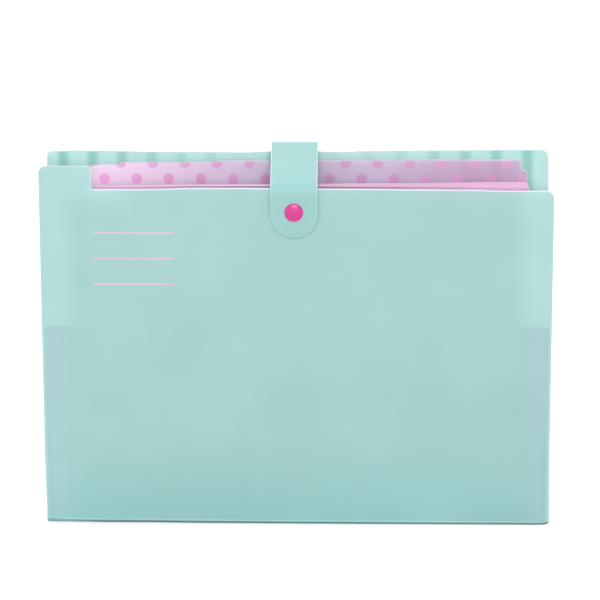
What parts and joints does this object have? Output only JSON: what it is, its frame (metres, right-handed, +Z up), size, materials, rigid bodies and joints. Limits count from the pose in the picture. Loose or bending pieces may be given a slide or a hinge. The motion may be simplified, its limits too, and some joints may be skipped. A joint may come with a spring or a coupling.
{
  "type": "expanding file folder",
  "caption": "Translucent expanding document folder with fanned dividers, pleated sides and a snap-fastened strap over the front.",
  "frame": {"origin": "middle of the spine's underside, on the surface that the folder stands on", "axes": "+X across the folder to the right as seen from the front, +Y from front to back, +Z up"},
  "size_m": [0.33, 0.0644, 0.2494],
  "materials": {
    "cover_sheet": "translucent mint polypropylene sheet, fine matt grain",
    "inner_sheet": "translucent mint polypropylene sheet, thinner",
    "divider_sheet": "translucent pink polypropylene sheet",
    "pleat_film": "clear mint polypropylene film, folded",
    "snap_plastic": "glossy pink moulded acetal"
  },
  "bodies": {
    "back_cover": {"spine": "cover_sheet", "back_panel": "cover_sheet", "strap_bridge": "cover_sheet", "left_pleat_5": "pleat_film", "right_pleat_5": "pleat_film", "foot_pleat_5": "pleat_film"},
    "leaf_4": {"divider_4": "divider_sheet", "left_pleat_4": "pleat_film", "right_pleat_4": "pleat_film", "foot_pleat_4": "pleat_film"},
    "leaf_3": {"divider_3": "divider_sheet", "left_pleat_3": "pleat_film", "right_pleat_3": "pleat_film", "foot_pleat_3": "pleat_film"},
    "leaf_2": {"divider_2": "divider_sheet", "left_pleat_2": "pleat_film", "right_pleat_2": "pleat_film", "foot_pleat_2": "pleat_film"},
    "leaf_1": {"divider_1": "divider_sheet", "left_pleat_1": "pleat_film", "right_pleat_1": "pleat_film", "foot_pleat_1": "pleat_film"},
    "front_cover": {"front_panel": "cover_sheet", "front_inner_pocket": "inner_sheet", "snap_stud": "snap_plastic", "snap_stud_cap": "snap_plastic"},
    "tongue": {"strap_tongue": "cover_sheet", "snap_cap": "snap_plastic", "snap_socket": "snap_plastic"}
  },
  "joints": [
    {"name": "pocket_5_fold", "type": "hinge", "parent": "back_cover", "child": "leaf_4", "pos_m": [0, -0.0107, 0.00302], "axis": [-1, 0, 0], "range_deg": [0, 1.9], "stiffness_Nm_per_rad": 0.05, "springref_deg": -11.46, "deforming": ["left_pleat_5", "right_pleat_5", "foot_pleat_5"]},
    {"name": "pocket_4_fold", "type": "hinge", "parent": "leaf_4", "child": "leaf_3", "pos_m": [0, -0.0107, 0.00302], "axis": [-1, 0, 0], "range_deg": [0, 1.9], "deforming": ["left_pleat_4", "right_pleat_4", "foot_pleat_4"]},
    {"name": "pocket_3_fold", "type": "hinge", "parent": "leaf_3", "child": "leaf_2", "pos_m": [0, -0.0107, 0.00302], "axis": [-1, 0, 0], "range_deg": [0, 1.9], "deforming": ["left_pleat_3", "right_pleat_3", "foot_pleat_3"]},
    {"name": "pocket_2_fold", "type": "hinge", "parent": "leaf_2", "child": "leaf_1", "pos_m": [0, -0.0107, 0.00302], "axis": [-1, 0, 0], "range_deg": [0, 1.9], "deforming": ["left_pleat_2", "right_pleat_2", "foot_pleat_2"]},
    {"name": "pocket_1_fold", "type": "hinge", "parent": "leaf_1", "child": "front_cover", "pos_m": [0, -0.0107, 0.00302], "axis": [-1, 0, 0], "range_deg": [0, 1.9], "deforming": ["left_pleat_1", "right_pleat_1", "foot_pleat_1"]},
    {"name": "tongue_lift", "type": "hinge", "parent": "back_cover", "child": "tongue", "pos_m": [-0.0012, -0.03293, 0.22105], "axis": [-1, 0, 0], "range_deg": [0, 165], "stiffness_Nm_per_rad": 0.0006, "springref_deg": -17.19}
  ],
  "couplings": [
    {"joint": "pocket_4_fold", "follows": "pocket_5_fold", "ratio": 1},
    {"joint": "pocket_3_fold", "follows": "pocket_5_fold", "ratio": 1},
    {"joint": "pocket_2_fold", "follows": "pocket_5_fold", "ratio": 1},
    {"joint": "pocket_1_fold", "follows": "pocket_5_fold", "ratio": 1}
  ]
}
